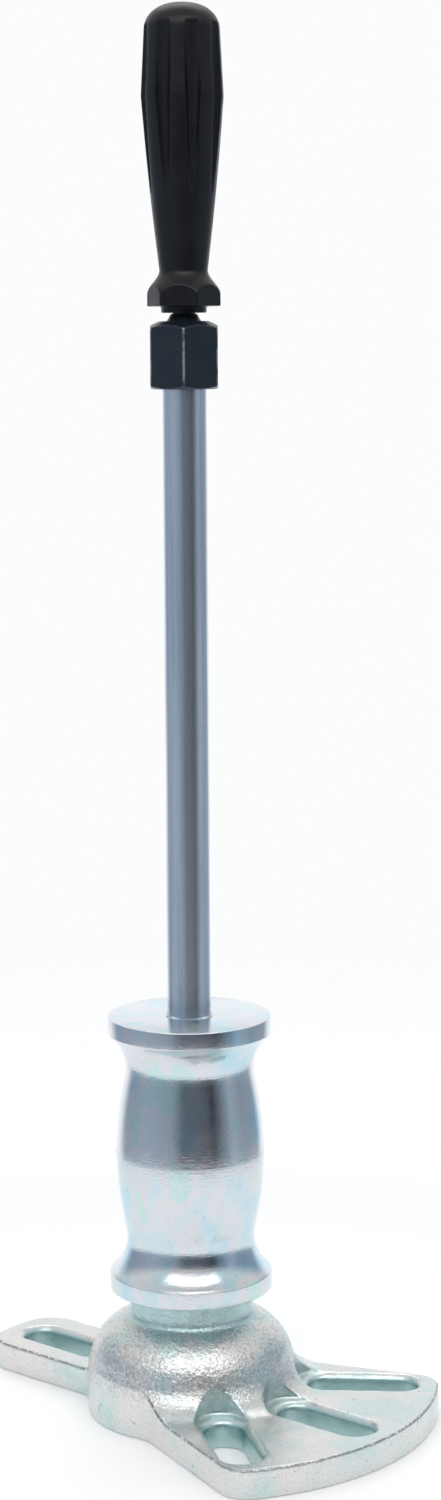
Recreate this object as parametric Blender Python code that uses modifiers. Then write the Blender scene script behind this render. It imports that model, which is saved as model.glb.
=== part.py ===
"""Slide hammer puller for wheel hubs and axle flanges.

A forged flange with radial bolt slots carries a round guide rod. A heavy hammer slides on the rod between the
flange's boss and a high hex nut, and a fluted plastic grip is screwed on above the nut.

Frame: the origin is on the rod's axis in the plane of the flange's underside. +Z runs up the rod, +X to the
middle of the flange's fan, and the single arm points to -X. Metres.
"""

import math

import bmesh
import bpy
from mathutils import Vector

# ---------------------------------------------------------------- fits
GAP = 0.0003  # clearance between pieces that touch or are screwed together
CUT_OVER = 0.002  # how far a cutter runs past the face that it cuts

# ---------------------------------------------------------------- flange
PLATE_RADIUS = 0.092
PLATE_THICK = 0.0108
FAN_EDGE_ANGLE = math.radians(21.0)  # each side edge of the fan against +X
FAN_EDGE_DISTANCE = 0.031  # from the axis to the line of a side edge
FAN_CORNER_ROUND = 0.011
ARM_HALF_WIDTH = 0.0184
ARM_CORNER_ROUND = 0.0125
HUB_OUTLINE_RADIUS = 0.0387
HUB_TO_FAN_FILLET = 0.016
HUB_TO_ARM_FILLET = 0.010

SLOT_ANGLES = [math.radians(a) for a in (180.0, 0.0, 36.0, -36.0)]
SLOT_INNER = 0.0437  # from the axis to the slot's inner end
SLOT_OUTER = 0.0842
SLOT_HALF_WIDTH = 0.0073
SLOT_RIM = 0.0017  # chamfer along the slot's upper rim
SCALLOP_RADIUS = 0.0098
SCALLOP_CENTRE = 0.0478
SCALLOP_SINK = 0.0004  # depth of the scallop's floor under the plate's top

DOME_RADIUS = 0.0382
DOME_ROUND = 0.0202
DOME_ROUND_HEIGHT = 0.0170  # where the dome's wall starts to round in
SKIRT_RADIUS = 0.0140  # hollow sweep from the dome down to the fan
SKIRT_END = 262.0  # the sweep stops just short of level, so that it crosses the plate's top at an angle
SKIRT_RUN_OUT = 0.0030
BOSS_RADIUS = 0.0225
BOSS_TOP = 0.0468
BOSS_FILLET = 0.0030
BOSS_EDGE = 0.0008
HOLLOW_MOUTH_RADIUS = 0.0308
HOLLOW_WALL_RADIUS = 0.0296
HOLLOW_ROUND = 0.0130
HOLLOW_TOP = 0.0315
COUNTERBORE_FLOOR = 0.0440

# ---------------------------------------------------------------- rod and its fasteners
ROD_RADIUS = 0.0080
ROD_END_RADIUS = 0.0070  # turned down to pass the boss
ROD_BOTTOM = 0.0140
ROD_TOP = 0.4000
ROD_CHAMFER = 0.0010
ROD_SOCKET_DEPTH = 0.0168  # blind hole for the grip's stud

WASHER_RADIUS = 0.0130
WASHER_THICK = 0.0025
LOCK_NUT_FLATS = 0.0220
LOCK_NUT_HEIGHT = 0.0110
LOCK_NUT_CHAMFER = 0.0010

STOP_NUT_FLATS = 0.0240
STOP_NUT_BOTTOM = 0.3780
STOP_NUT_HEIGHT = 0.0240
STOP_NUT_SPHERE = 0.0240
STOP_NUT_FACE_RADIUS = 0.0089  # flat top face inside the spherical seat
STOP_NUT_BASE_RADIUS = 0.0114
STOP_NUT_BASE_CHAMFER = 0.0014
STOP_NUT_TURN = math.radians(10.5)
BORE_CHAMFER = 0.0008

# ---------------------------------------------------------------- hammer
HAMMER_BOTTOM = BOSS_TOP + GAP
HAMMER_HALF_LENGTH = 0.0514
HAMMER_RIM_RADIUS = 0.0300
HAMMER_RIM_HEIGHT = 0.0060
HAMMER_RIM_EDGE = 0.0004
HAMMER_NECK_RADIUS = 0.0236
HAMMER_NECK_HEIGHT = 0.0196  # from the end face to the thinnest section
HAMMER_NECK_ARC = 0.0168
HAMMER_BELLY_RADIUS = 0.0273
HAMMER_SEAM_PROUD = 0.00015  # fine raised ring where the two turning cuts meet
HAMMER_SEAM_HALF = 0.0004

# ---------------------------------------------------------------- grip
GRIP_BOTTOM = 0.4049
GRIP_RING_RADIUS = 0.0081
GRIP_GUARD_BOTTOM = 0.4072
GRIP_GUARD_TOP = 0.4112
GRIP_GUARD_RADIUS = 0.0132
GRIP_GUARD_FLATS = 0.0232
GRIP_GUARD_TURN = math.radians(32.5)
GRIP_NECK_HEIGHT = 0.4199
GRIP_NECK_RADIUS = 0.0086
GRIP_BELLY_HEIGHT = 0.4802
GRIP_BELLY_RADIUS = 0.0146
GRIP_SHOULDER_HEIGHT = 0.5030
GRIP_SHOULDER_RADIUS = 0.0134
GRIP_TOP = 0.5124
FLUTE_COUNT = 8
FLUTE_TURN = math.radians(12.0)
FLUTE_TOP = 0.5050
FLUTE_BOTTOM = 0.4460
FLUTE_TOP_DEPTH = 0.0012
FLUTE_TOP_RADIUS = 0.0042
FLUTE_BOTTOM_RADIUS = 0.0010
FLUTE_BOTTOM_INSET = 0.0022  # from the belly's radius in to a flute's axis at its lower end
GRIP_CROWN_POWER = 0.85  # below 1 makes the crown squarer than an ellipse
GRIP_TAPER_SWELL = 0.0004  # how far the taper bulges past a straight line

STUD_RADIUS = 0.0040
STUD_LOW = 0.3840
STUD_HIGH = 0.4360
STUD_CONE_BOTTOM = ROD_TOP + GAP
STUD_CONE_TOP = GRIP_BOTTOM - GAP
STUD_CONE_BASE_RADIUS = 0.0072
STUD_CONE_TOP_RADIUS = 0.0046
INSERT_RADIUS = 0.0063
INSERT_TOP = 0.4380

# ---------------------------------------------------------------- mesh density
ROUND_STEPS = 40
SMALL_STEPS = 32
ARC_STEPS = 5
FAN_RIM_STEPS = 12  # half of the fan's rim
HUB_ARC_STEPS = 14
ARM_TIP_STEPS = 3
SLOT_END_STEPS = 8
DOME_STEPS = 6
SKIRT_STEPS = 5
BOSS_FILLET_STEPS = 4
HAMMER_NECK_STEPS = 6
HAMMER_BELLY_STEPS = 4
GRIP_STEPS = 6  # along the crown, along the taper and along the flare
FLUTE_STEPS = 16
WELD = 0.00001
CUTTER_TWIST = math.radians(2.3)  # keeps the corners of a round cutter off those of the round solid it cuts

PARTS_NAME = "slide_hammer_puller"


def start_scene():
    """Empties the scene and returns the collections for the parts and for the cutters."""
    for obj in list(bpy.data.objects):
        bpy.data.objects.remove(obj, do_unlink=True)
    parts = bpy.data.collections.new(PARTS_NAME)
    cutters = bpy.data.collections.new("cutters")
    for collection in (parts, cutters):
        bpy.context.scene.collection.children.link(collection)
    return parts, cutters


def make_material(name, colour, roughness, metallic):
    material = bpy.data.materials.new(name)
    material.use_nodes = True
    shader = material.node_tree.nodes["Principled BSDF"]
    shader.inputs["Base Color"].default_value = (*colour, 1.0)
    shader.inputs["Roughness"].default_value = roughness
    shader.inputs["Metallic"].default_value = metallic
    return material


def arc(centre, radius, start_deg, end_deg, steps=ARC_STEPS):
    """Points along an arc, both ends included."""
    points = []
    for i in range(steps + 1):
        angle = math.radians(start_deg + (end_deg - start_deg) * i / steps)
        points.append((centre[0] + radius * math.cos(angle), centre[1] + radius * math.sin(angle)))
    return points


def turned(name, profile, collection, steps=ROUND_STEPS, closed=False):
    """Spins a profile of (radius, height) points about Z. The outer side runs from top to bottom."""
    mesh = bpy.data.meshes.new(name)
    edges = [(i, i + 1) for i in range(len(profile) - 1)]
    if closed:
        edges.append((len(profile) - 1, 0))
    mesh.from_pydata([(radius, 0.0, height) for radius, height in profile], edges, [])
    obj = bpy.data.objects.new(name, mesh)
    collection.objects.link(obj)
    screw = obj.modifiers.new("turn", "SCREW")
    screw.steps = steps
    screw.render_steps = steps
    screw.use_merge_vertices = True
    screw.merge_threshold = WELD
    return obj


def cylinder(name, radius, bottom, top, collection, centre=(0.0, 0.0), steps=SMALL_STEPS):
    """An upright round bar from bottom to top."""
    return cone(name, radius, radius, bottom, top, collection, centre, steps)


def cone(name, radius_low, radius_high, bottom, top, collection, centre=(0.0, 0.0), steps=SMALL_STEPS):
    mesh = bpy.data.meshes.new(name)
    shape = bmesh.new()
    bmesh.ops.create_cone(
        shape, cap_ends=True, segments=steps, radius1=radius_low, radius2=radius_high, depth=top - bottom
    )
    shape.to_mesh(mesh)
    shape.free()
    obj = bpy.data.objects.new(name, mesh)
    obj.location = (centre[0], centre[1], (bottom + top) / 2)
    collection.objects.link(obj)
    return obj


def hex_prism(name, flats, bottom, top, collection, turn=0.0):
    """A hexagonal bar with a corner at the angle turn."""
    obj = cylinder(name, flats / math.sqrt(3.0), bottom, top, collection, steps=6)
    obj.rotation_euler.z = turn - math.pi / 2
    return obj


def prism(name, outline, bottom, top, collection, rim=0.0):
    """A flat outline with straight walls from bottom to top, as a mesh. A rim widens it through a chamfer."""
    curve = bpy.data.curves.new(name, "CURVE")
    curve.dimensions = "2D"
    curve.fill_mode = "BOTH"
    curve.extrude = (top - bottom) / 2 - rim
    curve.bevel_depth = rim
    curve.bevel_resolution = 0
    spline = curve.splines.new("POLY")
    spline.points.add(len(outline) - 1)
    for point, (x, y) in zip(spline.points, outline):
        point.co = (x, y, 0.0, 1.0)
    spline.use_cyclic_u = True
    drawn = bpy.data.objects.new(name + "_outline", curve)
    drawn.location.z = (bottom + top) / 2
    collection.objects.link(drawn)
    bpy.context.view_layer.update()
    evaluated = drawn.evaluated_get(bpy.context.evaluated_depsgraph_get())
    mesh = bpy.data.meshes.new_from_object(evaluated)
    shape = bmesh.new()
    shape.from_mesh(mesh)
    bmesh.ops.remove_doubles(shape, verts=shape.verts, dist=WELD)
    shape.to_mesh(mesh)
    shape.free()
    obj = bpy.data.objects.new(name, mesh)
    obj.matrix_world = drawn.matrix_world.copy()
    collection.objects.link(obj)
    bpy.data.objects.remove(drawn, do_unlink=True)
    return obj


def boolean(obj, other, operation="DIFFERENCE"):
    modifier = obj.modifiers.new(operation.lower(), "BOOLEAN")
    modifier.operation = operation
    modifier.object = other
    modifier.solver = "EXACT"
    other.hide_render = True
    other.display_type = "WIRE"


def cut_all(obj, collection):
    """Cuts every object of the collection out of obj in one exact step."""
    modifier = obj.modifiers.new("cut_all", "BOOLEAN")
    modifier.operation = "DIFFERENCE"
    modifier.operand_type = "COLLECTION"
    modifier.collection = collection
    modifier.solver = "EXACT"
    for cutter in collection.objects:
        cutter.hide_render = True
        cutter.display_type = "WIRE"


def finish(obj, material, sharp_angle=math.radians(30.0)):
    """Gives the piece its material, and smooth shading where it is round."""
    obj.data.materials.clear()
    obj.data.materials.append(material)
    for modifier in obj.modifiers:
        if modifier.type == "SCREW":
            modifier.use_smooth_shade = True
    if obj.data.polygons:
        obj.data.shade_smooth()
        obj.data.set_sharp_from_angle(angle=sharp_angle)


# ---------------------------------------------------------------- flange


def corner_centre(normal, along, line_distance, circle_radius, round_radius):
    """Centre of the arc that rounds the outside corner between a line and the circle about the origin."""
    off = line_distance - round_radius
    reach = math.sqrt((circle_radius - round_radius) ** 2 - off**2)
    return normal * off + along * reach


def fillet_centre(normal, along, line_distance, circle_radius, fillet_radius):
    """Centre of the arc that fills the inside corner between a line and the circle about the origin."""
    off = line_distance + fillet_radius
    reach = math.sqrt((circle_radius + fillet_radius) ** 2 - off**2)
    return normal * off + along * reach


def arc_between(centre, radius, start, end, steps=ARC_STEPS):
    """Arc about centre from the direction of one point to that of the other, the short way round."""
    first = math.degrees(math.atan2(start.y - centre.y, start.x - centre.x))
    last = math.degrees(math.atan2(end.y - centre.y, end.x - centre.x))
    sweep = (last - first + 180.0) % 360.0 - 180.0
    return arc(centre, radius, first, first + sweep, steps)


def flange_outline(with_arm=True):
    """The plate seen from above: a fan, a round hub and one arm. The half at +Y is drawn, then mirrored."""
    fan_normal = Vector((-math.sin(FAN_EDGE_ANGLE), math.cos(FAN_EDGE_ANGLE)))
    fan_along = Vector((math.cos(FAN_EDGE_ANGLE), math.sin(FAN_EDGE_ANGLE)))
    arm_normal = Vector((0.0, 1.0))
    arm_along = Vector((-1.0, 0.0))
    origin = Vector((0.0, 0.0))

    half = []
    corner = corner_centre(fan_normal, fan_along, FAN_EDGE_DISTANCE, PLATE_RADIUS, FAN_CORNER_ROUND)
    rim_end = corner.normalized() * PLATE_RADIUS
    half += arc_between(origin, PLATE_RADIUS, Vector((PLATE_RADIUS, 0.0)), rim_end, FAN_RIM_STEPS)
    half += arc_between(corner, FAN_CORNER_ROUND, rim_end, corner + fan_normal)[1:]

    fillet = fillet_centre(fan_normal, fan_along, FAN_EDGE_DISTANCE, HUB_OUTLINE_RADIUS, HUB_TO_FAN_FILLET)
    fan_hub = fillet.normalized() * HUB_OUTLINE_RADIUS
    half += arc_between(fillet, HUB_TO_FAN_FILLET, fillet - fan_normal, fan_hub)

    fillet = fillet_centre(arm_normal, arm_along, ARM_HALF_WIDTH, HUB_OUTLINE_RADIUS, HUB_TO_ARM_FILLET)
    arm_hub = fillet.normalized() * HUB_OUTLINE_RADIUS
    half += arc_between(origin, HUB_OUTLINE_RADIUS, fan_hub, arm_hub, HUB_ARC_STEPS)[1:]
    if with_arm:
        half += arc_between(fillet, HUB_TO_ARM_FILLET, arm_hub, fillet - arm_normal)[1:]
        corner = corner_centre(arm_normal, arm_along, ARM_HALF_WIDTH, PLATE_RADIUS, ARM_CORNER_ROUND)
        tip_start = corner.normalized() * PLATE_RADIUS
        half += arc_between(corner, ARM_CORNER_ROUND, corner + arm_normal, tip_start)
        half += arc_between(origin, PLATE_RADIUS, tip_start, Vector((-PLATE_RADIUS, 0.0)), ARM_TIP_STEPS)[1:]
    else:
        hub_back = Vector((-HUB_OUTLINE_RADIUS, 0.0))
        half += arc_between(origin, HUB_OUTLINE_RADIUS, arm_hub, hub_back)[1:]
    return half + [(x, -y) for x, y in reversed(half[1:-1])]


def slot_outline(angle, half_width=SLOT_HALF_WIDTH):
    """A stadium along the ray at this angle, from SLOT_INNER to SLOT_OUTER."""
    inner = SLOT_INNER + SLOT_HALF_WIDTH
    outer = SLOT_OUTER - SLOT_HALF_WIDTH
    local = arc((outer, 0.0), half_width, -90.0, 90.0, SLOT_END_STEPS)
    local += arc((inner, 0.0), half_width, 90.0, 270.0, SLOT_END_STEPS)
    turn = (math.cos(angle), math.sin(angle))
    return [(x * turn[0] - y * turn[1], x * turn[1] + y * turn[0]) for x, y in local]


def dome_profile():
    """Boss, shoulder and hollow skirt of the dome, from the top of the axis down into the plate."""
    shoulder = (DOME_RADIUS - DOME_ROUND, DOME_ROUND_HEIGHT)
    fillet_x = BOSS_RADIUS + BOSS_FILLET
    reach = DOME_ROUND + BOSS_FILLET
    fillet_z = shoulder[1] + math.sqrt(reach**2 - (fillet_x - shoulder[0]) ** 2)
    meet = math.degrees(math.atan2(fillet_z - shoulder[1], fillet_x - shoulder[0]))
    profile = [(0.0, BOSS_TOP), (BOSS_RADIUS - BOSS_EDGE, BOSS_TOP), (BOSS_RADIUS, BOSS_TOP - BOSS_EDGE)]
    profile += arc((fillet_x, fillet_z), BOSS_FILLET, 180.0, 180.0 + meet, BOSS_FILLET_STEPS)

    skirt_z = PLATE_THICK + SKIRT_RADIUS
    rise = skirt_z - shoulder[1]
    skirt_x = shoulder[0] + math.sqrt((DOME_ROUND + SKIRT_RADIUS) ** 2 - rise**2)
    turn = math.degrees(math.atan2(rise, skirt_x - shoulder[0]))
    profile += arc(shoulder, DOME_ROUND, meet, turn, DOME_STEPS)[1:]
    profile += arc((skirt_x, skirt_z), SKIRT_RADIUS, 180.0 + turn, SKIRT_END, SKIRT_STEPS)[1:]
    end_x, end_z = profile[-1]
    slope = math.tan(math.radians(270.0 - SKIRT_END))
    middle = PLATE_THICK / 2
    profile += [
        (end_x + SKIRT_RUN_OUT, end_z - SKIRT_RUN_OUT * slope),
        (end_x + SKIRT_RUN_OUT, middle),
        (0.0, middle),
    ]
    return profile


def hollow_profile():
    """The space under the dome, from its flat ceiling to below the underside."""
    centre = (HOLLOW_WALL_RADIUS - HOLLOW_ROUND, HOLLOW_TOP - HOLLOW_ROUND)
    profile = [(0.0, HOLLOW_TOP)] + arc(centre, HOLLOW_ROUND, 90.0, 0.0)
    return profile + [(HOLLOW_MOUTH_RADIUS, 0.0), (HOLLOW_MOUTH_RADIUS, -CUT_OVER), (0.0, -CUT_OVER)]


def make_flange(parts, cutters, material):
    flange = prism("puller_flange", flange_outline(), 0.0, PLATE_THICK, parts)
    dome = turned("dome_solid", dome_profile(), cutters)
    trim = prism("dome_trim", flange_outline(with_arm=False), -CUT_OVER, BOSS_TOP + CUT_OVER, cutters)
    boolean(dome, trim, "INTERSECT")
    boolean(flange, dome, "UNION")

    holes = bpy.data.collections.new("flange_cutters")
    cutters.children.link(holes)
    turned("hollow_cut", hollow_profile(), holes)
    cylinder("rod_hole_cut", ROD_END_RADIUS + GAP, HOLLOW_TOP - CUT_OVER, BOSS_TOP, holes)
    cylinder("counterbore_cut", ROD_RADIUS + GAP, COUNTERBORE_FLOOR, BOSS_TOP + CUT_OVER, holes)
    for number, angle in enumerate(SLOT_ANGLES, start=1):
        centre = (SCALLOP_CENTRE * math.cos(angle), SCALLOP_CENTRE * math.sin(angle))
        floor = PLATE_THICK - SCALLOP_SINK
        scallop = cylinder(f"scallop_cut_{number}", SCALLOP_RADIUS, floor, BOSS_TOP - GAP, holes, centre)
        scallop.rotation_euler.z = angle + CUTTER_TWIST
        outline = slot_outline(angle)
        prism(f"slot_cut_{number}", outline, -CUT_OVER, PLATE_THICK + CUT_OVER, holes)
        rim = SLOT_RIM + GAP
        inside = slot_outline(angle, SLOT_HALF_WIDTH - GAP)
        prism(f"slot_rim_cut_{number}", inside, PLATE_THICK - rim, PLATE_THICK + 2 * rim, holes, rim)
    cut_all(flange, holes)
    finish(flange, material)
    return flange


# ---------------------------------------------------------------- rod, washer and nuts


def make_rod(parts, cutters, material):
    shoulder = COUNTERBORE_FLOOR + GAP
    profile = [
        (0.0, ROD_TOP),
        (ROD_RADIUS - ROD_CHAMFER, ROD_TOP),
        (ROD_RADIUS, ROD_TOP - ROD_CHAMFER),
        (ROD_RADIUS, shoulder),
        (ROD_END_RADIUS, shoulder),
        (ROD_END_RADIUS, ROD_BOTTOM + ROD_CHAMFER),
        (ROD_END_RADIUS - ROD_CHAMFER, ROD_BOTTOM),
        (0.0, ROD_BOTTOM),
    ]
    rod = turned("slide_rod", profile, parts, SMALL_STEPS)
    socket_radius = STUD_RADIUS + GAP
    socket_floor = ROD_TOP - ROD_SOCKET_DEPTH
    boolean(rod, cylinder("rod_socket_cut", socket_radius, socket_floor, ROD_TOP + CUT_OVER, cutters))
    finish(rod, material)
    return rod


def make_washer(parts, material):
    top = HOLLOW_TOP - GAP
    bottom = top - WASHER_THICK
    inner = ROD_END_RADIUS + GAP
    profile = [(inner, top), (WASHER_RADIUS, top), (WASHER_RADIUS, bottom), (inner, bottom)]
    washer = turned("base_washer", profile, parts, SMALL_STEPS, closed=True)
    finish(washer, material)
    return washer


def nut_envelope(name, top_profile, bottom_profile, collection):
    """The turned outer shape that cuts back a hex bar's ends."""
    profile = [(0.0, top_profile[0][1])] + top_profile + bottom_profile + [(0.0, bottom_profile[-1][1])]
    return turned(name, profile, collection, SMALL_STEPS)


def make_lock_nut(parts, cutters, material):
    top = HOLLOW_TOP - WASHER_THICK - 2 * GAP
    bottom = top - LOCK_NUT_HEIGHT
    corner = LOCK_NUT_FLATS / math.sqrt(3.0)
    flat = LOCK_NUT_FLATS / 2
    nut = hex_prism("base_lock_nut", LOCK_NUT_FLATS, bottom, top, parts)
    low = [(corner, bottom + LOCK_NUT_CHAMFER), (flat, bottom)]
    high = [(flat, top), (corner, top - LOCK_NUT_CHAMFER)]
    boolean(nut, nut_envelope("lock_nut_envelope", high, low, cutters), "INTERSECT")
    bore = ROD_END_RADIUS + GAP
    boolean(nut, cylinder("lock_nut_bore_cut", bore, bottom - CUT_OVER, top + CUT_OVER, cutters))
    finish(nut, material)
    return nut


def make_stop_nut(parts, cutters, material):
    bottom = STOP_NUT_BOTTOM
    top = bottom + STOP_NUT_HEIGHT
    corner = STOP_NUT_FLATS / math.sqrt(3.0) + GAP
    nut = hex_prism("stop_nut", STOP_NUT_FLATS, bottom, top, parts, STOP_NUT_TURN)
    sphere_z = top - math.sqrt(STOP_NUT_SPHERE**2 - STOP_NUT_FACE_RADIUS**2)
    first = math.degrees(math.acos(STOP_NUT_FACE_RADIUS / STOP_NUT_SPHERE))
    last = math.degrees(math.acos(corner / STOP_NUT_SPHERE))
    high = arc((0.0, sphere_z), STOP_NUT_SPHERE, first, last)
    low = [(corner, bottom + STOP_NUT_BASE_CHAMFER), (STOP_NUT_BASE_RADIUS, bottom)]
    boolean(nut, nut_envelope("stop_nut_envelope", high, low, cutters), "INTERSECT")
    bore = ROD_RADIUS + GAP
    boolean(nut, cylinder("stop_nut_bore_cut", bore, bottom - CUT_OVER, top + CUT_OVER, cutters))
    finish(nut, material)
    return nut


# ---------------------------------------------------------------- hammer


def hammer_half():
    """Outer side of the upper half, as (radius, distance from the middle), from the end face to the seam."""
    end = HAMMER_HALF_LENGTH
    neck = (HAMMER_NECK_RADIUS + HAMMER_NECK_ARC, end - HAMMER_NECK_HEIGHT)
    # The belly's arc is centred in the middle plane, and touches both the neck's arc and the belly's radius.
    lead = neck[0] - HAMMER_BELLY_RADIUS
    belly_arc = (lead**2 + neck[1] ** 2 - HAMMER_NECK_ARC**2) / (2 * (HAMMER_NECK_ARC - lead))
    belly = (HAMMER_BELLY_RADIUS - belly_arc, 0.0)
    touch = math.degrees(math.atan2(neck[1] - belly[1], neck[0] - belly[0]))

    rim_bottom = end - HAMMER_RIM_HEIGHT
    flare = math.degrees(math.acos((neck[0] - HAMMER_RIM_RADIUS + HAMMER_RIM_EDGE) / HAMMER_NECK_ARC))
    points = [
        (HAMMER_RIM_RADIUS - HAMMER_RIM_EDGE, end),
        (HAMMER_RIM_RADIUS, end - HAMMER_RIM_EDGE),
        (HAMMER_RIM_RADIUS, rim_bottom),
    ]
    points += arc(neck, HAMMER_NECK_ARC, 180.0 - flare, 180.0 + touch, HAMMER_NECK_STEPS)
    seam_edge = math.degrees(HAMMER_SEAM_HALF / belly_arc)
    points += arc(belly, belly_arc, touch, seam_edge, HAMMER_BELLY_STEPS)[1:]
    points.append((HAMMER_BELLY_RADIUS + HAMMER_SEAM_PROUD, HAMMER_SEAM_HALF / 2))
    return points


def make_hammer(parts, material):
    middle = HAMMER_BOTTOM + HAMMER_HALF_LENGTH
    upper = hammer_half()
    bore = ROD_RADIUS + GAP
    end = HAMMER_HALF_LENGTH
    outer = upper + [(radius, -height) for radius, height in reversed(upper)]
    inner = [
        (bore + BORE_CHAMFER, -end),
        (bore, -end + BORE_CHAMFER),
        (bore, end - BORE_CHAMFER),
        (bore + BORE_CHAMFER, end),
    ]
    hammer = turned("slide_hammer", outer + inner, parts, closed=True)
    hammer.location.z = middle
    finish(hammer, material)
    return hammer


# ---------------------------------------------------------------- grip


def grip_profile():
    """Round top, long taper, narrow neck, flared guard and a small ring under it."""
    crown_height = GRIP_TOP - GRIP_SHOULDER_HEIGHT
    profile = []
    for i in range(GRIP_STEPS + 1):
        angle = math.radians(90.0 - 90.0 * i / GRIP_STEPS)
        radius = GRIP_SHOULDER_RADIUS * math.cos(angle) ** GRIP_CROWN_POWER
        profile.append((radius if i else 0.0, GRIP_SHOULDER_HEIGHT + crown_height * math.sin(angle)))
    profile.append((GRIP_BELLY_RADIUS, GRIP_BELLY_HEIGHT))
    for i in range(1, GRIP_STEPS):
        part = i / GRIP_STEPS
        swell = GRIP_TAPER_SWELL * math.sin(math.pi * part)
        radius = GRIP_BELLY_RADIUS + (GRIP_NECK_RADIUS - GRIP_BELLY_RADIUS) * part + swell
        height = GRIP_BELLY_HEIGHT + (GRIP_NECK_HEIGHT - GRIP_BELLY_HEIGHT) * part
        profile.append((radius, height))
    for i in range(GRIP_STEPS + 1):
        part = i / GRIP_STEPS
        blend = (1 - math.cos(math.pi * part)) / 2
        radius = GRIP_NECK_RADIUS + (GRIP_GUARD_RADIUS - GRIP_NECK_RADIUS) * blend
        profile.append((radius, GRIP_NECK_HEIGHT + (GRIP_GUARD_TOP - GRIP_NECK_HEIGHT) * part))
    profile += [
        (GRIP_GUARD_RADIUS, GRIP_GUARD_BOTTOM),
        (GRIP_RING_RADIUS, GRIP_GUARD_BOTTOM),
        (GRIP_RING_RADIUS, GRIP_BOTTOM),
        (0.0, GRIP_BOTTOM),
    ]
    return profile


def make_grip(parts, cutters, material):
    grip = turned("handle_grip", grip_profile(), parts)
    low = GRIP_BOTTOM - CUT_OVER
    ring_low, ring_high = GRIP_GUARD_BOTTOM - GAP, GRIP_GUARD_TOP + GAP
    ring = cylinder("guard_cut", 2 * GRIP_GUARD_RADIUS, ring_low, ring_high, cutters)
    core = hex_prism("guard_core", GRIP_GUARD_FLATS, low, GRIP_NECK_HEIGHT, cutters, GRIP_GUARD_TURN)
    boolean(ring, core)
    boolean(grip, ring)

    length = FLUTE_TOP - FLUTE_BOTTOM
    for number in range(FLUTE_COUNT):
        angle = FLUTE_TURN + 2 * math.pi * number / FLUTE_COUNT
        name = f"flute_cut_{number + 1}"
        flute = cone(name, FLUTE_BOTTOM_RADIUS, FLUTE_TOP_RADIUS, 0.0, length, cutters, steps=FLUTE_STEPS)
        outward_top = GRIP_SHOULDER_RADIUS - FLUTE_TOP_DEPTH + FLUTE_TOP_RADIUS
        outward_low = GRIP_BELLY_RADIUS - FLUTE_BOTTOM_INSET
        lean = math.atan2(outward_top - outward_low, length)
        middle = (outward_top + outward_low) / 2
        flute.location = (
            middle * math.cos(angle),
            middle * math.sin(angle),
            (FLUTE_TOP + FLUTE_BOTTOM) / 2,
        )
        flute.rotation_euler = (0.0, lean, angle)
        boolean(grip, flute)
    socket_radius = INSERT_RADIUS + GAP
    boolean(grip, cylinder("grip_socket_cut", socket_radius, low, INSERT_TOP + GAP, cutters))
    finish(grip, material)
    return grip


def make_stud(parts, material):
    profile = [
        (0.0, STUD_HIGH),
        (STUD_RADIUS, STUD_HIGH),
        (STUD_RADIUS, STUD_CONE_TOP),
        (STUD_CONE_TOP_RADIUS, STUD_CONE_TOP),
        (STUD_CONE_BASE_RADIUS, STUD_CONE_BOTTOM),
        (STUD_RADIUS, STUD_CONE_BOTTOM),
        (STUD_RADIUS, STUD_LOW),
        (0.0, STUD_LOW),
    ]
    stud = turned("handle_stud", profile, parts, SMALL_STEPS)
    finish(stud, material)
    return stud


def make_insert(parts, material):
    bore = STUD_RADIUS + GAP
    ceiling = STUD_HIGH + GAP
    bottom = GRIP_BOTTOM
    profile = [
        (0.0, INSERT_TOP),
        (INSERT_RADIUS, INSERT_TOP),
        (INSERT_RADIUS, bottom),
        (bore, bottom),
        (bore, ceiling),
        (0.0, ceiling),
    ]
    insert = turned("handle_insert", profile, parts, SMALL_STEPS)
    finish(insert, material)
    return insert


def main():
    parts, cutters = start_scene()
    cutters.hide_render = True
    forged_zinc = make_material("forged_zinc", (0.50, 0.55, 0.53), 0.45, 1.0)
    turned_zinc = make_material("turned_zinc", (0.66, 0.71, 0.74), 0.25, 1.0)
    rod_zinc = make_material("rod_zinc", (0.45, 0.49, 0.54), 0.30, 1.0)
    black_oxide = make_material("black_oxide", (0.020, 0.025, 0.032), 0.40, 0.6)
    black_plastic = make_material("black_plastic", (0.015, 0.015, 0.017), 0.40, 0.0)
    brass = make_material("brass", (0.60, 0.45, 0.20), 0.35, 1.0)

    make_flange(parts, cutters, forged_zinc)
    make_rod(parts, cutters, rod_zinc)
    make_washer(parts, turned_zinc)
    make_lock_nut(parts, cutters, turned_zinc)
    make_hammer(parts, turned_zinc)
    make_stop_nut(parts, cutters, black_oxide)
    make_stud(parts, black_oxide)
    make_insert(parts, brass)
    make_grip(parts, cutters, black_plastic)


main()
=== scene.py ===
"""Looks of the slide hammer hub puller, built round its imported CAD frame. Metres, +Z up the rod."""

import math

import bmesh
import bpy
from mathutils import Matrix, Vector, noise
from mathutils.kdtree import KDTree


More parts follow.
